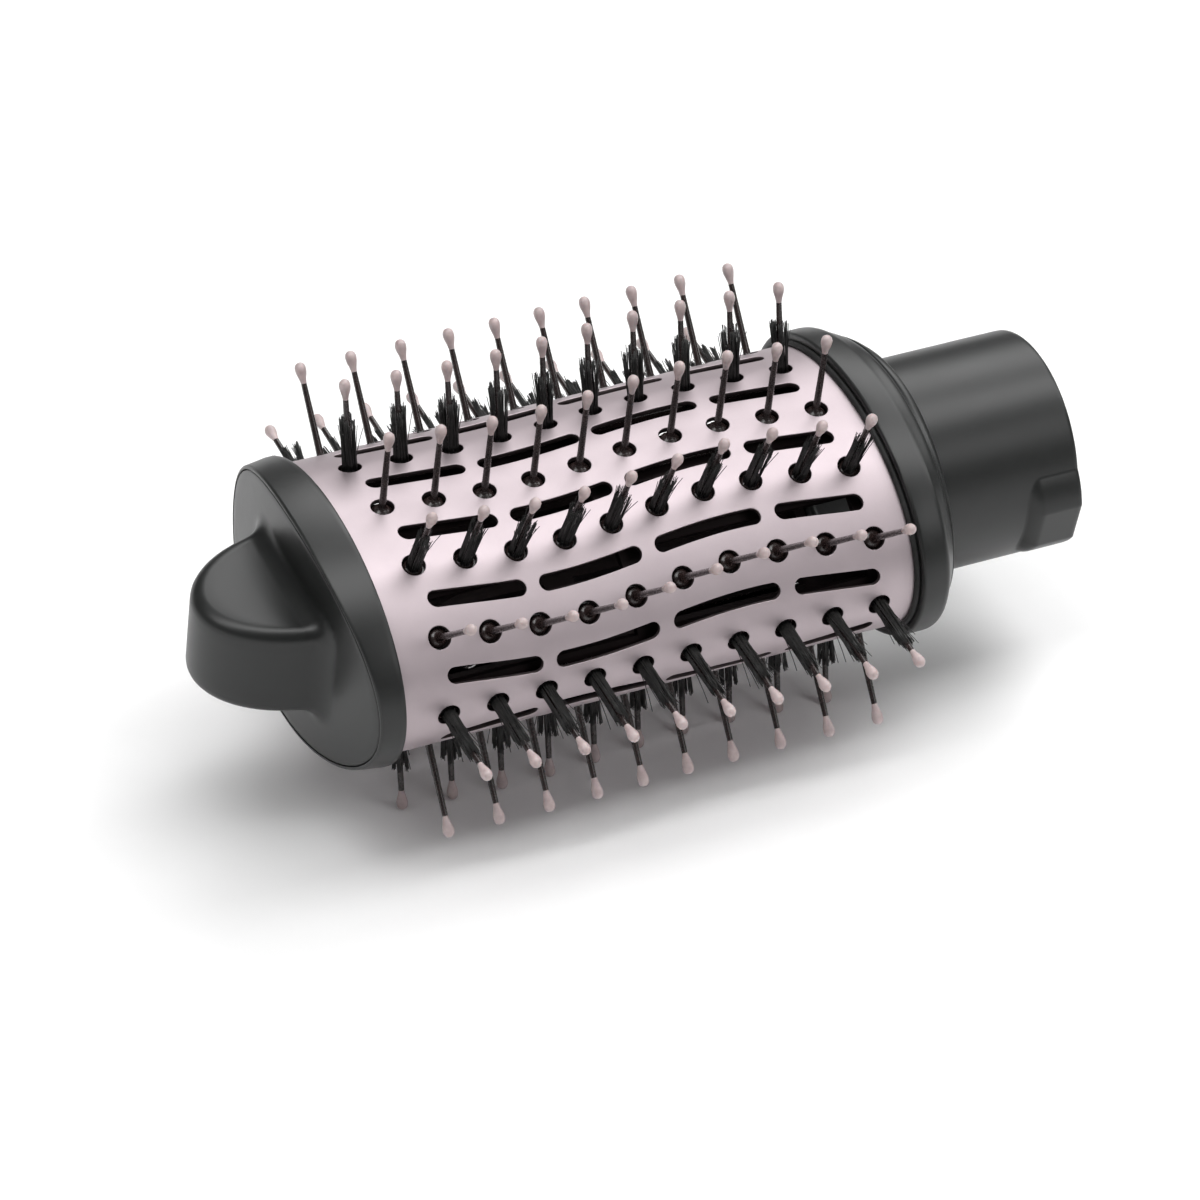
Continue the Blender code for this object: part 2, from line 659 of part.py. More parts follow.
def build():
    clear_scene()
    parts = new_collection("hot_air_brush")
    cutters = new_collection("cutters")
    parent = rest_frame(parts)
    barrel_sleeve(parts, cutters, parent)
    strips(parts, cutters, parent)
    core_half(parts, cutters, parent, "core_upper", 1)
    core_half(parts, cutters, parent, "core_lower", -1)
    front_bulkhead(parts, cutters, parent)
    rear_bulkhead(parts, cutters, parent)
    air_deflector(parts, parent)
    screws(parts, parent)
    front_rim(parts, parent)
    cool_tip(parts, cutters, parent)
    rear_seal_ring(parts, parent)
    rear_collar(parts, parent)
    neck_tube(parts, cutters, parent)


build()
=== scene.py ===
"""Oval hot air brush head lying on its pins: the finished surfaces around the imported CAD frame.

Sizes are in metres, but profiles, loops and the neck's own sizes are in millimetres. Each new
piece is drawn in the head's own frame, with X along the barrel towards the neck, Y across the
wide way of the oval and Z across the narrow way, and is then laid down with the head.
"""
import math
import random

import bmesh
import bpy
import numpy as np
from mathutils import Matrix, Vector


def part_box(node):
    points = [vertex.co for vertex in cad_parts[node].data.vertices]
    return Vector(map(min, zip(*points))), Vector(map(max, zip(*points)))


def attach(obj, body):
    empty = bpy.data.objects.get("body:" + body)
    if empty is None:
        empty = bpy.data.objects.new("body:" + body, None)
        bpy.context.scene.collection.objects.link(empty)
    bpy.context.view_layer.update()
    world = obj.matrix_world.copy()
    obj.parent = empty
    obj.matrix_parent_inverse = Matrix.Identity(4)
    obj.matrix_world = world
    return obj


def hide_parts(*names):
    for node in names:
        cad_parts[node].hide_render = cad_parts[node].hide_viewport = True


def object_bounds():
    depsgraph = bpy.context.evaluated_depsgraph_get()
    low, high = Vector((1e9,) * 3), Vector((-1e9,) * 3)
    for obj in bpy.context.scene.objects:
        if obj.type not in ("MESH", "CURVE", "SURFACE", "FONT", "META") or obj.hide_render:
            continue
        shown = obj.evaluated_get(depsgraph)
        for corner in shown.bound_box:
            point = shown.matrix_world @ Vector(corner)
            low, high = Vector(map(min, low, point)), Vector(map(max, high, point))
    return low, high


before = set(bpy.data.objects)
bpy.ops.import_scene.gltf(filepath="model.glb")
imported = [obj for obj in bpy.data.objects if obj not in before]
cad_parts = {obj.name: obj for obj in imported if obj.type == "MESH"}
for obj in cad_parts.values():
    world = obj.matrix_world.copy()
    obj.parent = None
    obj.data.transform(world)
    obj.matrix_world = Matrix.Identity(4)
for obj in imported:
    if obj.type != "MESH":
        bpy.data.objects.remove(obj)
cad_low, cad_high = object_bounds()


# ---- Barrel ------------------------------------------------------------------------------
# A sheet of thin aluminium, punched with rows of round holes and slots that follow a slow
# wave, then rolled into an oval tube. It is satin and anodised pale rose outside, painted dark
# and dull as shade inside and in the holes and slots, and the punch leaves each edge slightly
# rolled over.

MM = 0.001
BARREL_HALF_WIDTH = 27.0 * MM
BARREL_HALF_HEIGHT = 18.0 * MM
BARREL_WALL = 0.8 * MM
HIDDEN_END = 2.0 * MM
HOLE_ROWS = 12
HOLES = 10
FIRST_HOLE = 7.6 * MM
PITCH = 8.0 * MM
HOLE_RADIUS = 1.8 * MM
HOLE_SIDES = 24
SLOT_RADIUS = 1.35 * MM
SLOT_SIDES = 20
SLOT_CUTS = 11
SLOT_SPANS = ((0.0, 1.93), (2.2, 4.35), (4.65, 6.9), (7.2, 9.0))
WAVE_HEIGHT = 1.16 * MM
WAVE_LENGTH = 7.4
WAVE_START = 4.45
STRAIGHT_ROWS = (3, 9)
EDGE_ROLL = 0.1 * MM
SEAM_AFTER_ROW = 9
SEAM_STEP = 2.6 * MM
BARREL_FACETS = 96
OVAL_STEPS = 5760
NEAR = 0.01 * MM
TOUCH = 0.001 * MM
CUT_NEAR = 0.002 * MM
SEAM_WELD = 0.0002 * MM
SKIN_SHARE = 0.0002


def box_middle(node):
    low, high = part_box(node)
    return (low + high) / 2


def lay_of_the_head():
    """Matrix from the head's own frame to where it lies. The tip screws mark its wide way."""
    left = box_middle("tip_screw_left")
    right = box_middle("tip_screw_right")
    tilt = math.atan2(right.z - left.z, right.y - left.y)
    middle = (left + right) / 2
    middle.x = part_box("barrel_sleeve")[0].x + HIDDEN_END
    return Matrix.Translation(middle) @ Matrix.Rotation(tilt, 4, "X")


HEAD = lay_of_the_head()
BARREL_START = -HIDDEN_END
BARREL_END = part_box("barrel_sleeve")[1].x - HEAD.translation.x

turns = np.linspace(0, 2 * math.pi, OVAL_STEPS + 1)
steps_round = np.hypot(np.diff(BARREL_HALF_WIDTH * np.sin(turns)),
                       np.diff(BARREL_HALF_HEIGHT * np.cos(turns)))
walked = np.concatenate(([0], np.cumsum(steps_round)))
GIRTH = float(walked[-1])


def on_oval(walk):
    """Point of the oval's section at a walk from the top towards -Y, and its outward normal."""
    turn = float(np.interp(walk % GIRTH, walked, turns))
    point = Vector((0, -BARREL_HALF_WIDTH * math.sin(turn), BARREL_HALF_HEIGHT * math.cos(turn)))
    normal = Vector((0, point.y / BARREL_HALF_WIDTH ** 2, point.z / BARREL_HALF_HEIGHT ** 2))
    return point, normal.normalized()


def wave(row, place):
    """Sideways shift of a row at a place counted in pitches from the first hole."""
    if row in STRAIGHT_ROWS:
        return 0.0
    shift = WAVE_HEIGHT * math.sin(2 * math.pi * (WAVE_START - place) / WAVE_LENGTH)
    return shift if HOLE_ROWS / 4 < row < 3 * HOLE_ROWS / 4 else -shift


seam = GIRTH * SEAM_AFTER_ROW / HOLE_ROWS + SEAM_STEP


def walk_to(row, place):
    """Walk round the sheet to a place in a row, counted on from the sheet's own seam."""
    walk = GIRTH * row / HOLE_ROWS - wave(row, place)
    return walk + GIRTH * math.ceil(max(0.0, seam - walk) / GIRTH)


def punch_hole(sheet, row, hole):
    """A circle at a hole's place in the flat sheet."""
    place = Matrix.Translation((FIRST_HOLE + PITCH * hole, walk_to(row, hole), 0))
    bmesh.ops.create_circle(sheet, cap_ends=False, segments=HOLE_SIDES, radius=HOLE_RADIUS,
                            matrix=place)


def punch_slot(sheet, row, start, end):
    """A circle pulled out to the slot's length, with its long sides bent to the wave."""
    for vert in sheet.verts:
        vert.tag = True
    middle = FIRST_HOLE + PITCH * (start + end) / 2
    reach = PITCH * (end - start) / 2 - SLOT_RADIUS
    half_step = Matrix.Rotation(math.pi / SLOT_SIDES, 4, "Z")
    ring = bmesh.ops.create_circle(sheet, cap_ends=False, segments=SLOT_SIDES,
                                   radius=SLOT_RADIUS, matrix=half_step)["verts"]
    for vert in ring:
        vert.co.x += math.copysign(reach, vert.co.x)
    sides = [edge for edge in sheet.edges
             if edge.verts[0] in ring and edge.calc_length() > reach]
    bmesh.ops.subdivide_edges(sheet, edges=sides, cuts=SLOT_CUTS)
    for vert in sheet.verts:
        if not vert.tag:
            x = vert.co.x + middle
            vert.co = Vector((x, vert.co.y + walk_to(row, (x - FIRST_HOLE) / PITCH), 0))


def punched_sheet():
    """The flat sheet: X along the barrel, Y the walk round it, Z out of the metal."""
    sheet = bmesh.new()
    bmesh.ops.create_grid(sheet, x_segments=1, y_segments=1, size=0.5)
    for vert in sheet.verts:
        vert.co.x = BARREL_START if vert.co.x < 0 else BARREL_END
        vert.co.y = seam if vert.co.y < 0 else seam + GIRTH
    bmesh.ops.delete(sheet, geom=sheet.faces[:], context="FACES_ONLY")
    for row in range(HOLE_ROWS):
        for hole in range(HOLES):
            punch_hole(sheet, row, hole)
        for start, end in SLOT_SPANS:
            punch_slot(sheet, row + 0.5, start, end)
    bmesh.ops.triangle_fill(sheet, use_beauty=True, use_dissolve=False, edges=sheet.edges[:])
    lower = bmesh.ops.extrude_face_region(sheet, geom=sheet.faces[:])["geom"]
    lower = [part for part in lower if isinstance(part, bmesh.types.BMVert)]
    bmesh.ops.translate(sheet, verts=lower, vec=(0, 0, -BARREL_WALL))
    bmesh.ops.recalc_face_normals(sheet, faces=sheet.faces)
    return sheet


def roll_edges(sheet):
    """Round the punched edges on the outer side."""
    rims = []
    for edge in sheet.edges:
        middle = (edge.verts[0].co + edge.verts[1].co) / 2
        outer = all(abs(vert.co.z) < NEAR for vert in edge.verts)
        steep = any(abs(face.normal.z) < 0.5 for face in edge.link_faces)
        border = (min(middle.x - BARREL_START, BARREL_END - middle.x) < NEAR
                  or min(middle.y - seam, seam + GIRTH - middle.y) < NEAR)
        if outer and steep and not border:
            rims.append(edge)
    bmesh.ops.bevel(sheet, geom=rims, offset=EDGE_ROLL, segments=2, profile=0.5,
                    affect="EDGES", material=-1)


def roll_sheet(sheet):
    """Cut the sheet into narrow facets, roll it into the oval tube and join its seam.

    A point almost on a cut counts as on it, and the weld is far finer than the cuts, so that
    every run makes the same mesh.
    """
    for cut in range(1, BARREL_FACETS):
        bmesh.ops.bisect_plane(sheet, geom=sheet.verts[:] + sheet.edges[:] + sheet.faces[:],
                               dist=CUT_NEAR, plane_co=(0, seam + GIRTH * cut / BARREL_FACETS, 0),
                               plane_no=(0, 1, 0))
    bmesh.ops.triangulate(sheet, faces=[face for face in sheet.faces if len(face.verts) > 4])
    # Faces on the inner side and down the walls of the holes and slots take the second material,
    # which paints shade there.
    for face in sheet.faces:
        if min(vert.co.z for vert in face.verts) < -BARREL_WALL / 2:
            face.material_index = 1
    ends = [face for face in sheet.faces
            if all(min(abs(vert.co.y - seam), abs(vert.co.y - seam - GIRTH)) < TOUCH
                   for vert in face.verts)]
    bmesh.ops.delete(sheet, geom=ends, context="FACES_ONLY")
    for vert in sheet.verts:
        point, normal = on_oval(vert.co.y)
        out = vert.co.z
        vert.co = Vector((vert.co.x, point.y, point.z)) + normal * out
    bmesh.ops.remove_doubles(sheet, verts=sheet.verts, dist=SEAM_WELD)
    bmesh.ops.recalc_face_normals(sheet, faces=sheet.faces)


def finish_piece(name, bm, *materials):
    """Lay a piece down with the head and make it an object with smooth, outward faces."""
    for face in bm.faces:
        face.smooth = True
    bmesh.ops.transform(bm, matrix=HEAD, verts=bm.verts)
    if bm.calc_volume(signed=True) < 0:
        bmesh.ops.reverse_faces(bm, faces=bm.faces)
    mesh = bpy.data.meshes.new(name)
    bm.to_mesh(mesh)
    bm.free()
    for material in materials:
        mesh.materials.append(material)
    piece = bpy.data.objects.new(name, mesh)
    bpy.context.scene.collection.objects.link(piece)
    return piece


def true_normals(mesh):
    """Give the outer skin the oval's own normals, so that the long facets don't show."""
    back = HEAD.inverted()
    normals = []
    for vert in mesh.vertices:
        place = back @ vert.co
        y, z = place.y / BARREL_HALF_WIDTH, place.z / BARREL_HALF_HEIGHT
        if abs(math.hypot(y, z) - 1) < SKIN_SHARE:
            normal = Vector((0, y / BARREL_HALF_WIDTH, z / BARREL_HALF_HEIGHT)).normalized()
            normals.append(HEAD.to_3x3() @ normal)
        else:
            normals.append(Vector((0, 0, 0)))
    mesh.normals_split_custom_set_from_vertices(normals)


class Feed:
    """A shader socket. Plus and times on it add Math nodes, and make() adds any other node."""

    def __init__(self, tree, socket=None):
        self.tree = tree
        self.socket = socket

    def make(self, kind, settings=None, inputs=None, output=0):
        node = self.tree.nodes.new("ShaderNode" + kind)
        for name, value in (settings or {}).items():
            if name == "stops":
                ramp = node.color_ramp
                while len(ramp.elements) < len(value):
                    ramp.elements.new(1.0)
                for element, (place, colour) in zip(ramp.elements, value):
                    element.position = place
                    element.color = (*colour, 1.0)
            else:
                setattr(node, name, value)
        for name, value in (inputs or {}).items():
            if isinstance(value, Feed):
                self.tree.links.new(value.socket, node.inputs[name])
            else:
                node.inputs[name].default_value = value
        return Feed(self.tree, node.outputs[output])

    def sum(self, operation, first, second):
        return self.make("Math", {"operation": operation}, {0: first, 1: second})

    def __add__(self, other):
        return self.sum("ADD", self, other)

    __radd__ = __add__

    def __mul__(self, other):
        return self.sum("MULTIPLY", self, other)

    __rmul__ = __mul__


class Finish:
    """A new material, with its Principled shader and the place coordinates that feed it."""

    def __init__(self, name, **constants):
        self.material = bpy.data.materials.new(name)
        self.material.use_nodes = True
        tree = self.material.node_tree
        self.shader = tree.nodes["Principled BSDF"]
        self.tree = tree
        for socket, value in constants.items():
            self.shader.inputs[socket.replace("_", " ")].default_value = value
        self.place = Feed(tree).make("TexCoord", output="Object")

    def noise(self, scale, detail, roughness=0.5):
        return self.place.make("TexNoise", None,
                               {"Vector": self.place, "Scale": scale,
                                "Detail": detail, "Roughness": roughness}, "Fac")

    def ramp(self, value, *stops):
        return value.make("ValToRGB", {"stops": stops}, {"Fac": value})

    def bump(self, height, strength, distance):
        feed = self.place.make("Bump", None, {"Height": height, "Strength": strength,
                                              "Distance": distance}, "Normal")
        self.feed("Normal", feed)

    def feed(self, socket, value):
        self.tree.links.new(value.socket, self.shader.inputs[socket])


def rose_metal():
    """Satin anodised metal: a fine blasted grain, faint clouds and wear from handling."""
    finish = Finish("rose_anodised_aluminium", Metallic=0.88, Specular_IOR_Level=0.5)
    grain = finish.noise(9000.0, 3.0, 0.6)
    cloud = finish.noise(90.0, 3.0)
    handled = finish.noise(420.0, 4.0, 0.65)
    tone = cloud * 0.5 + grain * 0.35 + handled * 0.15
    finish.feed("Base Color", finish.ramp(tone, (0.3, (0.430, 0.370, 0.391)),
                                          (0.7, (0.508, 0.440, 0.462))))
    finish.feed("Roughness", 0.46 + grain * 0.07 + handled * 0.05)
    finish.bump(grain, 0.12, 0.03 * MM)
    return finish.material


def painted_shade_metal():
    """The sheet's inner side and cut edges, painted dark brown as shade, and dull."""
    finish = Finish("painted_shade_aluminium", Metallic=0.6, Specular_IOR_Level=0.4)
    scale = finish.noise(1400.0, 4.0, 0.6)
    # Painted shade: a dark brown that varies at random.
    shade_mottle = finish.noise(160.0, 3.0)
    finish.feed("Base Color", finish.ramp(shade_mottle, (0.3, (0.050, 0.038, 0.038)),
                                          (0.7, (0.105, 0.082, 0.084))))
    finish.feed("Roughness", 0.5 + scale * 0.25)
    finish.bump(scale, 0.15, 0.03 * MM)
    return finish.material


sheet = punched_sheet()
roll_edges(sheet)
roll_sheet(sheet)
# The second material paints shade on the inner side and in the holes and slots.
barrel = finish_piece("perforated_barrel", sheet, rose_metal(), painted_shade_metal())
true_normals(barrel.data)
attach(barrel, "root")
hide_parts("barrel_sleeve")


# ---- Pin strips --------------------------------------------------------------------------
# Six moulded nylon bars clipped under the metal, each with ten long pins that stand out
# through a row of holes. Every pin grows from a domed boss, is gloss black-brown nylon, and
# ends in a teardrop that was dipped in pale rose lacquer.

STRIP_START = 0.6 * MM
STRIP_END = 83.3 * MM
STRIP_TOP = -1.1 * MM
STRIP_THICK = 1.2 * MM
STRIP_HALF = 2.8 * MM
STRAIGHT_STRIP_HALF = 2.0 * MM
STRIP_EDGE = 0.25 * MM
PIN_SIDES = 14
PIN_PROFILE = ((0.0, -1.6), (1.55, -1.6), (1.55, -0.95), (1.46, -0.66), (1.22, -0.42),
               (0.92, -0.26), (0.7, -0.05), (0.6, 0.25), (0.56, 0.8), (0.53, 3.0), (0.49, 7.0),
               (0.44, 11.3))
DROP_PROFILE = ((0.44, 11.3), (0.48, 11.6), (0.57, 12.05), (0.7, 12.5), (0.82, 12.95),
                (0.885, 13.4), (0.87, 13.8), (0.76, 14.15), (0.56, 14.4), (0.3, 14.55),
                (0.0, 14.59))
DROP_START = DROP_PROFILE[0][1] * MM


def row_frame(row):
    """Matrix of a row: X along the barrel, Y round it, Z out of the metal.

    It stands on the chord between two points a quarter of a row before and after the row.
    """
    before, after = (on_oval(GIRTH * (row + step) / HOLE_ROWS)[0] for step in (0.25, -0.25))
    along = Vector((1, 0, 0))
    across = (after - before).normalized()
    matrix = Matrix((along, across, along.cross(across))).transposed().to_4x4()
    matrix.translation = (before + after) / 2
    return matrix


def turn_profile(bm, profile, sides, matrix):
    """Spin a profile of (radius, height) in millimetres about Z and put it in place."""
    before = set(bm.verts)
    verts = [bm.verts.new((radius * MM, 0, height * MM)) for radius, height in profile]
    edges = [bm.edges.new(pair) for pair in zip(verts, verts[1:])]
    bmesh.ops.spin(bm, geom=verts + edges, cent=(0, 0, 0), axis=(0, 0, 1),
                   angle=2 * math.pi, steps=sides, use_merge=True)
    made = [vert for vert in bm.verts if vert not in before]
    bmesh.ops.remove_doubles(bm, verts=made, dist=TOUCH)
    made = [vert for vert in bm.verts if vert not in before]
    bmesh.ops.transform(bm, matrix=matrix, verts=made)


def strip_bar(bm, row):
    """The bar under the metal, with its edges rounded."""
    half = STRAIGHT_STRIP_HALF if row in STRAIGHT_ROWS else STRIP_HALF
    size = Matrix.Diagonal((STRIP_END - STRIP_START, 2 * half, STRIP_THICK, 1))
    place = Matrix.Translation(((STRIP_START + STRIP_END) / 2, 0, STRIP_TOP - STRIP_THICK / 2))
    bmesh.ops.create_cube(bm, size=1, matrix=place @ size)
    bmesh.ops.bevel(bm, geom=bm.edges[:], offset=STRIP_EDGE, segments=2, profile=0.5,
                    affect="EDGES", material=-1)


def strip_with_pins(row):
    """One bar with ten parallel pins. Each pin's skin closes on its own."""
    bm = bmesh.new()
    strip_bar(bm, row)
    for hole in range(HOLES):
        place = Matrix.Translation((FIRST_HOLE + PITCH * hole, wave(row, hole), 0))
        turn_profile(bm, PIN_PROFILE + DROP_PROFILE[1:], PIN_SIDES, place)
    for face in bm.faces:
        if min(vert.co.z for vert in face.verts) > DROP_START - NEAR:
            face.material_index = 1
    bmesh.ops.recalc_face_normals(bm, faces=bm.faces)
    bmesh.ops.transform(bm, matrix=row_frame(row), verts=bm.verts)
    return bm


def gloss_nylon():
    finish = Finish("black_brown_nylon", Specular_IOR_Level=0.55, Coat_Weight=0.15,
                    Coat_Roughness=0.12)
    mottle = finish.noise(700.0, 3.0)
    flow = finish.noise(2600.0, 2.0)
    finish.feed("Base Color", finish.ramp(mottle, (0.35, (0.014, 0.009, 0.0085)),
                                          (0.7, (0.028, 0.017, 0.016))))
    finish.feed("Roughness", 0.24 + flow * 0.06)
    finish.bump(flow, 0.04, 0.02 * MM)
    return finish.material


def rose_lacquer():
    finish = Finish("pale_rose_lacquer", Specular_IOR_Level=0.5, Coat_Weight=0.25,
                    Coat_Roughness=0.2, Subsurface_Weight=0.08, Subsurface_Scale=0.4 * MM)
    dip = finish.noise(900.0, 3.0)
    speck = finish.noise(6000.0, 2.0)
    finish.feed("Base Color", finish.ramp(dip, (0.3, (0.41, 0.325, 0.325)),
                                          (0.7, (0.53, 0.435, 0.43))))
    finish.feed("Roughness", 0.34 + speck * 0.16)
    finish.bump(speck, 0.12, 0.02 * MM)
    return finish.material


nylon = gloss_nylon()
lacquer = rose_lacquer()
for row in range(0, HOLE_ROWS, 2):
    number = row // 2 + 1
    strip = finish_piece("pins_%d" % number, strip_with_pins(row), nylon, lacquer)
    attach(strip, "root")
    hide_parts("pin_strip_%d" % number)


# ---- Bristle strips ----------------------------------------------------------------------
# Six more bars with the same pins, and a tuft of cut nylon bristles packed into the boss
# round every pin. The bristles reach half way up the pin or more and end raggedly, a few
# stray ones lean out of each tuft, and one row is packed more fully than the rest.

BRISTLES = 84
STRAY_BRISTLES = 3
BRISTLE_RADIUS = 0.08 * MM
BRISTLE_TAPER = 0.8
BRISTLE_SIDES = 4
BRISTLE_RINGS = 4
CLUMPS = 5
TUFT_FOOT = -0.9 * MM
TUFT_INNER = 0.6 * MM
TUFT_OUTER = 1.15 * MM
TUFT_SHAPES = {1: (0.9, 8.6), 3: (0.62, 9.4), 5: (1.15, 7.3), 7: (1.3, 7.3), 9: (2.3, 7.2),
               11: (1.15, 8.0)}
FULL_TUFTS = {9: 170}
RAGGED = 0.16
RAGGED_MIDDLE = 0.35
GOLDEN_TURN = 0.618034
TURN_SHAKE = 0.06
CLUMP_PLACE = (0.2, 0.8)
CLUMP_REACH = (0.6, 1.25)
CLUMP_HEIGHT = (0.92, 1.05)
FOOT_SHARE = 0.8
LEAN_SHARE = (0.5, 0.95)
BOW = 0.2
STRAY_LENGTH = (0.85, 1.1)
STRAY_LEAN = (0.5, 1.1)
STRAY_BOW = (0.2, 1.0)
FIRST_SEED = 100


def bristle_mesh():
    """A straight bristle of unit height, standing on the origin."""
    bm = bmesh.new()
    bmesh.ops.create_cone(bm, cap_ends=True, segments=BRISTLE_SIDES, radius1=1.0,
                          radius2=BRISTLE_TAPER, depth=1.0,
                          matrix=Matrix.Translation((0, 0, 0.5)))
    for ring in range(1, BRISTLE_RINGS):
        bmesh.ops.bisect_plane(bm, geom=bm.verts[:] + bm.edges[:] + bm.faces[:], dist=1e-6,
                               plane_co=(0, 0, ring / BRISTLE_RINGS), plane_no=(0, 0, 1))
    mesh = bpy.data.meshes.new("bristle")
    bm.to_mesh(mesh)
    bm.free()
    return mesh


one_bristle = bristle_mesh()
bristle_points = len(one_bristle.vertices)


def stand_bristle(bm, foot, height, lean, bow):
    """Copy the bristle to its foot. It leans steadily and bows out towards its end."""
    bm.from_mesh(one_bristle)
    bm.verts.ensure_lookup_table()
    for vert in bm.verts[-bristle_points:]:
        rise = vert.co.z
        side = Vector((vert.co.x, vert.co.y, 0)) * BRISTLE_RADIUS
        vert.co = foot + side + lean * rise + bow * rise ** 2 + Vector((0, 0, height * rise))


def stand_tuft(bm, centre, draw, spread, height, count):
    """All the bristles round one pin. They hang together in a few clumps, and some stray."""
    clumps = []
    for clump in range(CLUMPS):
        angle = 2 * math.pi * (clump + draw.uniform(*CLUMP_PLACE)) / CLUMPS
        reach = spread * draw.uniform(*CLUMP_REACH) * MM
        tip = Vector((math.cos(angle), math.sin(angle), 0)) * reach
        clumps.append((tip, height * draw.uniform(*CLUMP_HEIGHT) * MM - TUFT_FOOT))
    for index in range(count + STRAY_BRISTLES):
        turn = (index * GOLDEN_TURN + draw.random() * TURN_SHAKE) % 1
        out = Vector((math.cos(2 * math.pi * turn), math.sin(2 * math.pi * turn), 0))
        share = math.sqrt((index % count + 0.5) / count)
        radius = TUFT_INNER + (TUFT_OUTER - TUFT_INNER) * share
        tip, length = clumps[int(turn * CLUMPS)]
        length *= 1 + RAGGED * (RAGGED_MIDDLE - draw.random() ** 2)
        lean = (tip - out * radius * FOOT_SHARE) * draw.uniform(*LEAN_SHARE)
        bow = Vector((draw.gauss(0, BOW), draw.gauss(0, BOW), 0)) * MM
        if index >= count:
            length *= draw.uniform(*STRAY_LENGTH)
            lean = out * draw.uniform(*STRAY_LEAN) * MM
            bow = out * draw.uniform(*STRAY_BOW) * MM
        foot = centre + out * radius + Vector((0, 0, TUFT_FOOT))
        stand_bristle(bm, foot, length, lean, bow)


def tufts_of(row):
    """A row's ten tufts, in the row's place."""
    bm = bmesh.new()
    draw = random.Random(FIRST_SEED + row)
    spread, height = TUFT_SHAPES[row]
    for hole in range(HOLES):
        centre = Vector((FIRST_HOLE + PITCH * hole, wave(row, hole), 0))
        stand_tuft(bm, centre, draw, spread, height, FULL_TUFTS.get(row, BRISTLES))
    bmesh.ops.transform(bm, matrix=row_frame(row), verts=bm.verts)
    return bm


def bristle_nylon():
    finish = Finish("bristle_nylon", Specular_IOR_Level=0.45)
    streak = finish.noise(1500.0, 2.0)
    finish.feed("Base Color", finish.ramp(streak, (0.3, (0.008, 0.008, 0.0078)),
                                          (0.75, (0.026, 0.0255, 0.0245))))
    finish.feed("Roughness", 0.36 + streak * 0.2)
    finish.bump(streak, 0.1, 0.02 * MM)
    return finish.material


cut_nylon = bristle_nylon()
for row in range(1, HOLE_ROWS, 2):
    number = row // 2 + 1
    strip = finish_piece("tufted_pins_%d" % number, strip_with_pins(row), nylon, lacquer)
    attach(strip, "root")
    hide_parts("bristle_strip_%d" % number)
    tufts = finish_piece("tufts_%d" % number, tufts_of(row), cut_nylon)
    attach(tufts, "root")


# ---- Inner duct, end plates and deflector ------------------------------------------------
# Plain heat-resistant mouldings inside the metal: two windowed halves of the air duct, a
# plate at each end and a cone that turns the air outwards. They show dark behind the slots.

def duct_plastic():
    finish = Finish("duct_plastic", Specular_IOR_Level=0.15)
    grain = finish.noise(3500.0, 3.0)
    soot = finish.noise(160.0, 4.0, 0.6)
    finish.feed("Base Color", finish.ramp(soot, (0.3, (0.020, 0.014, 0.0145)),
                                          (0.75, (0.030, 0.021, 0.0215))))
    finish.feed("Roughness", 0.55 + grain * 0.2)
    finish.bump(grain, 0.25, 0.04 * MM)
    return finish.material


inner = duct_plastic()
for node in ("core_upper", "core_lower", "front_bulkhead", "rear_bulkhead", "air_deflector"):
    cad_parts[node].data.materials.clear()
    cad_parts[node].data.materials.append(inner)


# ---- Screws ------------------------------------------------------------------------------
# Four zinc-plated pan-head screws: two hold the cool tip to the front plate, and two hold
# the neck's flange to the rear plate.

def plated_steel():
    finish = Finish("zinc_plated_steel", Metallic=1.0)
    turned = finish.noise(5000.0, 2.0)
    dull = finish.noise(900.0, 3.0)
    finish.feed("Base Color", finish.ramp(dull, (0.3, (0.38, 0.38, 0.37)),
                                          (0.7, (0.62, 0.62, 0.60))))
    finish.feed("Roughness", 0.24 + turned * 0.2)
    finish.bump(turned, 0.1, 0.02 * MM)
    return finish.material


steel = plated_steel()
for node in ("tip_screw_left", "tip_screw_right", "neck_screw_left", "neck_screw_right"):
    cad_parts[node].data.materials.clear()
    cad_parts[node].data.materials.append(steel)


# ---- Front rim ---------------------------------------------------------------------------
# Oval ring of dark grey glass-filled nylon pressed over the front end of the metal. It stands
# a little proud, tapers forwards, and its front edge follows the bowed face of the cool tip.

SHELL_SIDES = 160
FACE_FRONT = -6.8 * MM
FACE_BOW_RADIUS = 134.0 * MM
TIP_BACK = -2.3 * MM
GAP = 0.3 * MM
RIM_LOOPS = ((0.0, 1.32), (-0.08, 1.52), (-0.28, 1.6), (-1.0, 1.6))
RIM_PROUD_FRONT = 1.15
RIM_LIP = 0.6
RIM_EDGE = 0.42
RIM_EDGE_STEPS = 5
LIP_EDGE = 0.06


def bowed(y):
    """X of the bowed front face at a distance y from the middle."""
    return FACE_FRONT + FACE_BOW_RADIUS - math.sqrt(FACE_BOW_RADIUS ** 2 - y ** 2)


def ring_stack(loops, sides):
    """Loops joined in turn, and the last to the first, into one closed skin.

    A loop is (half width, half height, x or a function that gives x at y).
    """
    bm = bmesh.new()
    bmesh.ops.create_circle(bm, cap_ends=False, segments=sides, radius=1.0)
    first = last = bm.edges[:]
    for _ in loops[1:]:
        made = bmesh.ops.extrude_edge_only(bm, edges=last)["geom"]
        last = [part for part in made if isinstance(part, bmesh.types.BMEdge)]
        verts = [part for part in made if isinstance(part, bmesh.types.BMVert)]
        bmesh.ops.translate(bm, verts=verts, vec=(0, 0, 1))
    bmesh.ops.bridge_loops(bm, edges=first + last)
    for vert in bm.verts:
        half_width, half_height, x = loops[round(vert.co.z)]
        y = half_width * vert.co.y
        vert.co = Vector((x(y) if callable(x) else x, y, half_height * vert.co.x))
    bmesh.ops.recalc_face_normals(bm, faces=bm.faces)
    return bm


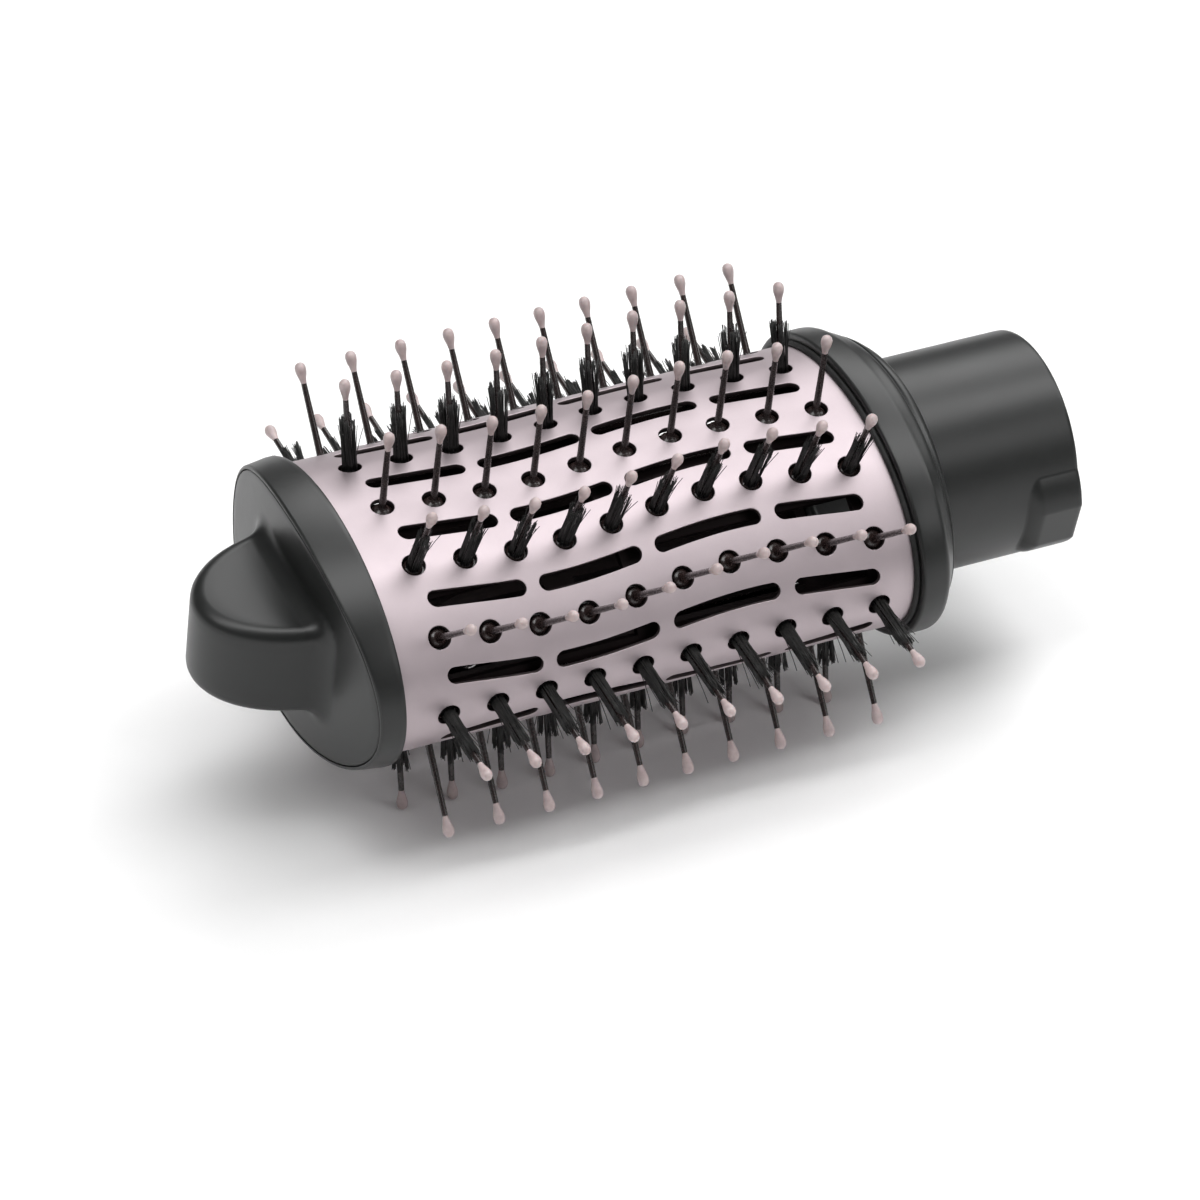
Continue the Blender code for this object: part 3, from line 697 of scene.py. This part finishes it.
def proud(amount, x):
    """A loop that stands an amount in millimetres outside the barrel."""
    return (BARREL_HALF_WIDTH + amount * MM, BARREL_HALF_HEIGHT + amount * MM, x)


def bowed_back(distance):
    """A loop's x on the bowed face, moved back by a distance in millimetres."""
    return lambda y: bowed(y) + distance * MM


def rim_loops():
    """From the metal forwards over the outside, round the front edge and back inside the lip."""
    loops = [proud(amount, x * MM) for x, amount in RIM_LOOPS]
    for step in range(RIM_EDGE_STEPS + 1):
        angle = math.pi / 2 * step / RIM_EDGE_STEPS
        loops.append(proud(RIM_PROUD_FRONT - RIM_EDGE * (1 - math.cos(angle)),
                           bowed_back(RIM_EDGE * (1 - math.sin(angle)))))
    lip = RIM_PROUD_FRONT - RIM_LIP
    inner = GAP / MM / 2
    loops += [proud(lip + LIP_EDGE, bowed_back(0.0)), proud(lip, bowed_back(LIP_EDGE)),
              proud(lip, TIP_BACK), proud(inner, TIP_BACK), proud(inner, 0.0)]
    return loops


def shell_nylon():
    """Dark grey glass-filled nylon with a fine sparkle and a faintly worn sheen."""
    finish = Finish("dark_grey_shell_nylon", Specular_IOR_Level=0.46)
    spark = finish.noise(5200.0, 3.0, 0.6)
    fibre = finish.noise(1800.0, 2.0)
    wear = finish.noise(110.0, 4.0, 0.6)
    tone = spark * 0.3 + wear * 0.7
    finish.feed("Base Color", finish.ramp(tone, (0.3, (0.0085, 0.0092, 0.009)),
                                          (0.7, (0.0135, 0.0143, 0.014))))
    finish.feed("Roughness", 0.30 + wear * 0.1 + spark * 0.06)
    finish.bump(spark * 0.7 + fibre * 0.3, 0.22, 0.04 * MM)
    return finish.material


shell = shell_nylon()
rim = finish_piece("front_rim_ring", ring_stack(rim_loops(), SHELL_SIDES), shell)
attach(rim, "root")
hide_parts("front_rim")


# ---- Cool tip ----------------------------------------------------------------------------
# The end cap that stays cool enough to hold: one moulding of the same dark nylon, with a
# bowed oval face and a hollow finger knob. The knob is flat above and below, half-oval from
# above, rounded on its edges, and flows into the face through a wide fillet.

KNOB_ROOT = -3.4 * MM
KNOB_HALF_WIDTH = 12.7 * MM
KNOB_LENGTH = 18.9 * MM
KNOB_HALF_HEIGHT = 8.2 * MM
KNOB_EDGE = 2.2 * MM
KNOB_CROWN = 0.25 * MM
KNOB_FILLET = 3.0 * MM
KNOB_COLUMNS = 44
CAP_ROWS = 5
EDGE_ROWS = 6
WALL_ROWS = 4
FILLET_STEPS = 8
FACE_STEPS = 7
FACE_EDGE = 0.3 * MM
FACE_EDGE_STEPS = 3
CROWN_REACH = 0.8
POLE_WELD = 0.004 * MM
SEAM_GAP = 0.11 * MM
FACE_HALVES = (BARREL_HALF_WIDTH + (RIM_PROUD_FRONT - RIM_LIP) * MM - SEAM_GAP,
               BARREL_HALF_HEIGHT + (RIM_PROUD_FRONT - RIM_LIP) * MM - SEAM_GAP)

knob_start = bowed(KNOB_HALF_WIDTH) - KNOB_FILLET
knob_turn = math.asin((KNOB_ROOT - knob_start) / KNOB_LENGTH)
HALF_ROWS = CAP_ROWS + EDGE_ROWS + WALL_ROWS


def knob_half_width(x):
    """Half the knob's width at a place along it."""
    return KNOB_HALF_WIDTH * math.sqrt(max(0.0, 1 - ((KNOB_ROOT - x) / KNOB_LENGTH) ** 2))


def knob_outline(turn, inset):
    """Point of the knob's outline from above, moved in along its normal."""
    x = KNOB_ROOT - KNOB_LENGTH * math.sin(turn)
    y = KNOB_HALF_WIDTH * math.cos(turn)
    normal = Vector((-math.sin(turn) / KNOB_LENGTH, math.cos(turn) / KNOB_HALF_WIDTH))
    normal.normalize()
    return x - inset * normal.x, y - inset * normal.y


def knob_point(column, row):
    """Point of the knob's skin: columns go round the outline, rows from the top face down."""
    turn = knob_turn + (math.pi - 2 * knob_turn) * column / KNOB_COLUMNS
    below = row > HALF_ROWS
    row = min(row, 2 * HALF_ROWS - row)
    roll = math.pi / 2 * min(max(row - CAP_ROWS, 0), EDGE_ROWS) / EDGE_ROWS
    x, y = knob_outline(turn, KNOB_EDGE * (1 - math.sin(roll)))
    root = bowed(y) - KNOB_FILLET
    x = min(x, root)
    if row < CAP_ROWS:
        x = root + (x - root) * row / CAP_ROWS
    if column in (0, KNOB_COLUMNS):
        x = root
    z = KNOB_HALF_HEIGHT - KNOB_EDGE * (1 - math.cos(roll))
    if row > CAP_ROWS + EDGE_ROWS:
        z *= 1 - (row - CAP_ROWS - EDGE_ROWS) / WALL_ROWS
    depth = min(1.0, max(0.0, (root - x) / (CROWN_REACH * KNOB_LENGTH)))
    z -= KNOB_CROWN * depth ** 2 * z / KNOB_HALF_HEIGHT
    return Vector((x, y, -z if below else z))


def knob_skin():
    """The knob as one sheet wrapped over its top, edge and underside, open at the root."""
    bm = bmesh.new()
    bmesh.ops.create_grid(bm, x_segments=KNOB_COLUMNS, y_segments=2 * HALF_ROWS, size=1.0)
    for vert in bm.verts:
        column = round((vert.co.x + 1) / 2 * KNOB_COLUMNS)
        row = round((vert.co.y + 1) * HALF_ROWS)
        vert.co = knob_point(column, row)
    bmesh.ops.remove_doubles(bm, verts=bm.verts, dist=POLE_WELD)
    return bm


def spread_normal(point):
    """Direction in which the root ring spreads into the fillet, seen along the barrel."""
    half_width = knob_half_width(knob_start)
    y = max(0.0, abs(point.y) - (half_width - KNOB_EDGE))
    z = max(0.0, abs(point.z) - (KNOB_HALF_HEIGHT - KNOB_EDGE))
    normal = Vector((math.copysign(y, point.y), math.copysign(z, point.z)))
    return normal.normalized() if normal.length > 0 else Vector((0, math.copysign(1, point.z)))


def fillet_point(root, share):
    """Place of a root point at a share of the way down the fillet onto the face."""
    angle = math.pi / 2 * share
    spread = KNOB_FILLET * (1 - math.cos(angle))
    normal = spread_normal(root)
    x = knob_start + KNOB_FILLET * math.sin(angle)
    widening = knob_half_width(min(x, KNOB_ROOT)) / knob_half_width(knob_start)
    y = root.y * widening + normal.x * spread
    z = root.z + normal.y * spread
    return Vector((bowed(y) - KNOB_FILLET * (1 - math.sin(angle)), y, z))


def face_point(root, share, inset, back):
    """Place of a root point at a share of the way from the fillet's foot to the face's edge."""
    foot = fillet_point(root, 1.0)
    half_width, half_height = FACE_HALVES[0] - inset, FACE_HALVES[1] - inset
    angle = math.atan2(foot.z / half_height, foot.y / half_width)
    y = foot.y + (half_width * math.cos(angle) - foot.y) * share
    z = foot.z + (half_height * math.sin(angle) - foot.z) * share
    return Vector((bowed(y) + back, y, z))


def cool_tip():
    """The knob's root edge drawn out over the fillet and the face, round its edge and back."""
    bm = knob_skin()
    ring = [edge for edge in bm.edges if edge.is_boundary]
    roots = {tuple(vert.co): vert.co.copy() for edge in ring for vert in edge.verts}
    places = [lambda root, s=step / FILLET_STEPS: fillet_point(root, s)
              for step in range(1, FILLET_STEPS + 1)]
    places += [lambda root, s=step / FACE_STEPS: face_point(root, s, FACE_EDGE, 0.0)
               for step in range(1, FACE_STEPS + 1)]
    for step in range(1, FACE_EDGE_STEPS + 1):
        angle = math.pi / 2 * step / FACE_EDGE_STEPS
        places.append(lambda root, a=angle: face_point(root, 1.0, FACE_EDGE * (1 - math.sin(a)),
                                                       FACE_EDGE * (1 - math.cos(a))))
    places.append(lambda root: Vector((TIP_BACK, *face_point(root, 1.0, 0.0, 0.0).yz)))
    for place in places:
        made = bmesh.ops.extrude_edge_only(bm, edges=ring)["geom"]
        ring = [part for part in made if isinstance(part, bmesh.types.BMEdge)]
        moved = {}
        for part in made:
            if isinstance(part, bmesh.types.BMVert):
                root = roots[tuple(part.co)]
                part.co = place(root)
                moved[tuple(part.co)] = root
        roots = moved
    bmesh.ops.contextual_create(bm, geom=ring)
    bmesh.ops.recalc_face_normals(bm, faces=bm.faces)
    return bm


tip = finish_piece("cool_tip_cap", cool_tip(), shell)
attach(tip, "root")
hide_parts("cool_tip")


# ---- Rear seal ring ----------------------------------------------------------------------
# A thin band of black heat-proof rubber, moulded as one ring. It is stretched round the
# metal and squeezed against the collar.

METAL_END = 86.3 * MM
SEAL_START = 85.3 * MM
SEAL_FOOT = 0.1
SEAL_PROUD = 0.85
SEAL_SHOULDER = ((SEAL_FOOT, 0.0), (0.35, 0.0), (0.62, 0.08), (SEAL_PROUD, 0.4))


def seal_loops():
    """From the metal up over the rounded front shoulder, and down the flat rear side."""
    end = METAL_END - GAP
    loops = [proud(amount, SEAL_START + back * MM) for amount, back in SEAL_SHOULDER]
    return loops + [proud(SEAL_PROUD, end), proud(SEAL_FOOT, end)]


def seal_rubber():
    finish = Finish("black_seal_rubber", Specular_IOR_Level=0.3)
    dust = finish.noise(800.0, 4.0, 0.65)
    finish.feed("Base Color", finish.ramp(dust, (0.35, (0.012, 0.012, 0.012)),
                                          (0.75, (0.026, 0.026, 0.026))))
    finish.feed("Roughness", 0.5 + dust * 0.2)
    finish.bump(dust, 0.2, 0.03 * MM)
    return finish.material


seal = finish_piece("seal_band", ring_stack(seal_loops(), SHELL_SIDES), seal_rubber())
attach(seal, "root")
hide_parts("rear_seal_ring")


# ---- Rear collar -------------------------------------------------------------------------
# Oval collar of the same dark nylon over the rear end of the metal. Its outer band is nearly
# straight, and behind it the shoulder closes down to a rounder opening for the neck.

COLLAR_END = 94.4 * MM
COLLAR_WALL_START = 91.2 * MM
COLLAR_PROUD = 2.0
COLLAR_INNER = 0.15
COLLAR_END_HALVES = (22.0 * MM, 19.3 * MM)
COLLAR_END_EDGE = ((0.6, 94.08), (0.25, 94.24), (-0.1, 94.35), (-0.5, 94.4))
NECK_HOLE = 17.45 * MM
NECK_HOLE_EDGE = 0.2 * MM
COLLAR_BAND = ((0.7, 86.08), (1.5, 86.1), (1.8, 86.2), (1.95, 86.38), (COLLAR_PROUD, 86.62),
               (COLLAR_PROUD, 88.5), (COLLAR_PROUD, 89.75))
SHOULDER = ((0.04, 0.01, 90.1), (0.16, 0.02, 90.4), (0.4, 0.05, 90.68), (0.72, 0.1, 90.9),
            (1.4, 0.16, 91.35), (2.3, 0.22, 92.0), (3.15, 0.3, 92.6), (3.55, 0.42, 92.78),
            (3.8, 0.58, 92.86), (3.92, 0.62, 92.98), (3.86, 0.5, 93.1), (3.9, 0.42, 93.25),
            (4.7, 0.46, 93.65))


def collar_loops():
    """Back over the band and the shoulder, in through the neck's hole and forwards inside."""
    loops = [proud(amount, x * MM) for amount, x in COLLAR_BAND]
    for narrower, lower, x in SHOULDER:
        loops.append((BARREL_HALF_WIDTH + (COLLAR_PROUD - narrower) * MM,
                      BARREL_HALF_HEIGHT + (COLLAR_PROUD - lower) * MM, x * MM))
    for wider, x in COLLAR_END_EDGE:
        loops.append((COLLAR_END_HALVES[0] + wider * MM, COLLAR_END_HALVES[1] + wider * MM / 3,
                      x * MM))
    mouth = NECK_HOLE + NECK_HOLE_EDGE
    loops += [(mouth, mouth, COLLAR_END), (NECK_HOLE, NECK_HOLE, COLLAR_END - NECK_HOLE_EDGE),
              (NECK_HOLE, NECK_HOLE, COLLAR_WALL_START),
              proud(COLLAR_INNER, COLLAR_WALL_START), proud(COLLAR_INNER, METAL_END)]
    return loops


collar = finish_piece("neck_collar", ring_stack(collar_loops(), SHELL_SIDES), shell)
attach(collar, "root")
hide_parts("rear_collar")


# ---- Neck --------------------------------------------------------------------------------
# Round socket that slides over the handle's nose, moulded in the same nylon. An oval flange
# inside the metal holds it, and two raised key pads with ramped sides stand on its end.

NECK_SIDES = 360
NECK_RADIUS = 17.3
NECK_BORE = 15.2
NECK_END = 119.3
NECK_ROUND = 0.5
NECK_ROUND_STEPS = 4
BORE_EDGE = 0.25
FLANGE_INSET = 1.3
FLANGE_START = 85.7
FLANGE_END = 87.6
FLANGE_BORE = 13.4
THROAT_RADIUS = 16.4
THROAT_END = 88.8
BORE_START = 88.6
SHAFT_PLACES = np.linspace(90.0, 108.0, 7)
PAD_PLACES = np.linspace(109.8, 118.5, 30)
PAD_RISE = 1.7 * MM
PAD_START = 110.4 * MM
PAD_RAMP = 2.2 * MM
PAD_END = 118.9 * MM
PAD_TURN = math.radians(6.0)
PAD_HALF_TOP = math.radians(11.0)
PAD_HALF_FOOT = math.radians(29.0)
PAD_SWELL = 0.35


def round_loop(radius, x):
    """A circle of a radius at a place along the neck, both in millimetres."""
    return (radius * MM, radius * MM, x * MM)


def neck_loops():
    """From the flange back along the skin, round the open end and forwards down the bore."""
    flange = (BARREL_HALF_WIDTH - FLANGE_INSET * MM, BARREL_HALF_HEIGHT - FLANGE_INSET * MM)
    loops = [round_loop(THROAT_RADIUS, FLANGE_END), round_loop(THROAT_RADIUS, THROAT_END),
             round_loop(NECK_RADIUS, THROAT_END)]
    loops += [round_loop(NECK_RADIUS, x) for x in (*SHAFT_PLACES, *PAD_PLACES)]
    for step in range(1, NECK_ROUND_STEPS + 1):
        angle = math.pi / 2 * step / NECK_ROUND_STEPS
        loops.append(round_loop(NECK_RADIUS - NECK_ROUND * (1 - math.cos(angle)),
                                NECK_END - NECK_ROUND * (1 - math.sin(angle))))
    loops += [round_loop(NECK_BORE + BORE_EDGE, NECK_END),
              round_loop(NECK_BORE, NECK_END - BORE_EDGE), round_loop(NECK_BORE, BORE_START),
              round_loop(FLANGE_BORE, FLANGE_END), round_loop(FLANGE_BORE, FLANGE_START),
              (*flange, FLANGE_START * MM), (*flange, FLANGE_END * MM)]
    return loops


def pad_height(x, turn):
    """How far the key pad stands out at a place on the neck."""
    ahead = max(0.0, PAD_START + PAD_RAMP - x) / PAD_RAMP
    aside = max(0.0, abs(turn) - PAD_HALF_TOP) / (PAD_HALF_FOOT - PAD_HALF_TOP)
    share = 1 - math.hypot(ahead, aside)
    if share <= 0:
        return 0.0
    flat = math.cos(PAD_HALF_TOP) / math.cos(min(abs(turn), PAD_HALF_TOP))
    crest = (NECK_RADIUS * MM + PAD_RISE) * flat - NECK_RADIUS * MM
    return crest * share * (1 + PAD_SWELL - PAD_SWELL * share)


def raise_pads(bm):
    """Lift the two pads out of the neck's skin, opposite each other."""
    for vert in bm.verts:
        radius = math.hypot(vert.co.y, vert.co.z)
        on_skin = radius > (NECK_RADIUS - 2 * NECK_ROUND) * MM and vert.co.x > PAD_START - MM
        if not on_skin:
            continue
        turn = math.atan2(-vert.co.z, -vert.co.y) - PAD_TURN
        turn = (turn + math.pi / 2) % math.pi - math.pi / 2
        rise = pad_height(min(vert.co.x, PAD_END), turn)
        vert.co.y *= 1 + rise / radius
        vert.co.z *= 1 + rise / radius


neck_skin = ring_stack(neck_loops(), NECK_SIDES)
raise_pads(neck_skin)
neck = finish_piece("socket_neck", neck_skin, shell)
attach(neck, "root")
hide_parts("neck_tube")


# ---- Floor, light and camera -------------------------------------------------------------
# A white seamless floor under a long soft box, with a panel in front and one behind for the
# sides of the metal, and a long lens looking down along the head.

FLOOR_SIZE = 8.0
WORLD_STRENGTH = 0.14
VIEW_ANGLES = (-27.082, 34.852, 2.136)
AIM_SHIFT = (-4.87, -3.71, -7.93)
VIEW_DISTANCE = 0.97008
SENSOR_WIDTH = 36.0
LENS = 190.3
NEAREST = 0.05


def studio_floor():
    """A wide matt white sheet at the height the head lies on."""
    bm = bmesh.new()
    bmesh.ops.create_grid(bm, x_segments=8, y_segments=8, size=FLOOR_SIZE / 2)
    mesh = bpy.data.meshes.new("floor")
    bm.to_mesh(mesh)
    bm.free()
    floor = bpy.data.objects.new("floor", mesh)
    bpy.context.scene.collection.objects.link(floor)
    finish = Finish("white_paper", Specular_IOR_Level=0.2)
    tooth = finish.noise(60.0, 3.0)
    finish.feed("Base Color", finish.ramp(tooth, (0.3, (0.93, 0.93, 0.93)),
                                          (0.7, (0.95, 0.95, 0.95))))
    finish.feed("Roughness", 0.85 + tooth * 0.1)
    mesh.materials.append(finish.material)


def soft_box(name, place, aim, size, power):
    """A rectangular lamp at a place, facing its aim. Power is in watts."""
    light = bpy.data.lights.new(name, "AREA")
    light.shape = "RECTANGLE"
    light.size, light.size_y = size
    light.energy = power
    lamp = bpy.data.objects.new(name, light)
    lamp.location = place
    lamp.rotation_mode = "QUATERNION"
    lamp.rotation_quaternion = (Vector(aim) - Vector(place)).to_track_quat("-Z", "Y")
    bpy.context.scene.collection.objects.link(lamp)


def studio_camera():
    """The camera, turned by its azimuth, elevation and roll about a point near the middle."""
    azimuth, elevation, roll = (math.radians(angle) for angle in VIEW_ANGLES)
    middle = (cad_low + cad_high) / 2
    aim = middle + Vector(AIM_SHIFT) * MM
    forward = Vector((-math.sin(azimuth) * math.cos(elevation),
                      math.cos(azimuth) * math.cos(elevation), -math.sin(elevation)))
    camera = bpy.data.objects.new("camera", bpy.data.cameras.new("camera"))
    camera.data.sensor_width = SENSOR_WIDTH
    camera.data.lens = LENS
    camera.data.clip_start = NEAREST
    camera.location = aim - forward * VIEW_DISTANCE
    level = forward.to_track_quat("-Z", "Y").to_matrix()
    camera.rotation_euler = (level @ Matrix.Rotation(roll, 3, "Z")).to_euler()
    bpy.context.scene.collection.objects.link(camera)
    bpy.context.scene.camera = camera


studio_floor()
soft_box("overhead_strip", place=(0.4, -0.09, 1.1), aim=(0.4, -0.09, 0), size=(3.6, 0.42),
         power=24.5)
soft_box("front_panel", place=(0.75, -1.2, 1.05), aim=(0, 0, 0.03), size=(0.8, 0.6), power=4.2)
soft_box("back_panel", place=(0.8, 1.05, 1.35), aim=(0, 0, 0.03), size=(1.3, 0.85), power=15.0)
world = bpy.data.worlds.new("studio")
bpy.context.scene.world = world
world.use_nodes = True
surround = world.node_tree.nodes["Background"]
surround.inputs["Color"].default_value = (1.0, 1.0, 1.0, 1.0)
surround.inputs["Strength"].default_value = WORLD_STRENGTH
bpy.context.scene.view_settings.view_transform = "Standard"
studio_camera()

bpy.context.view_layer.update()
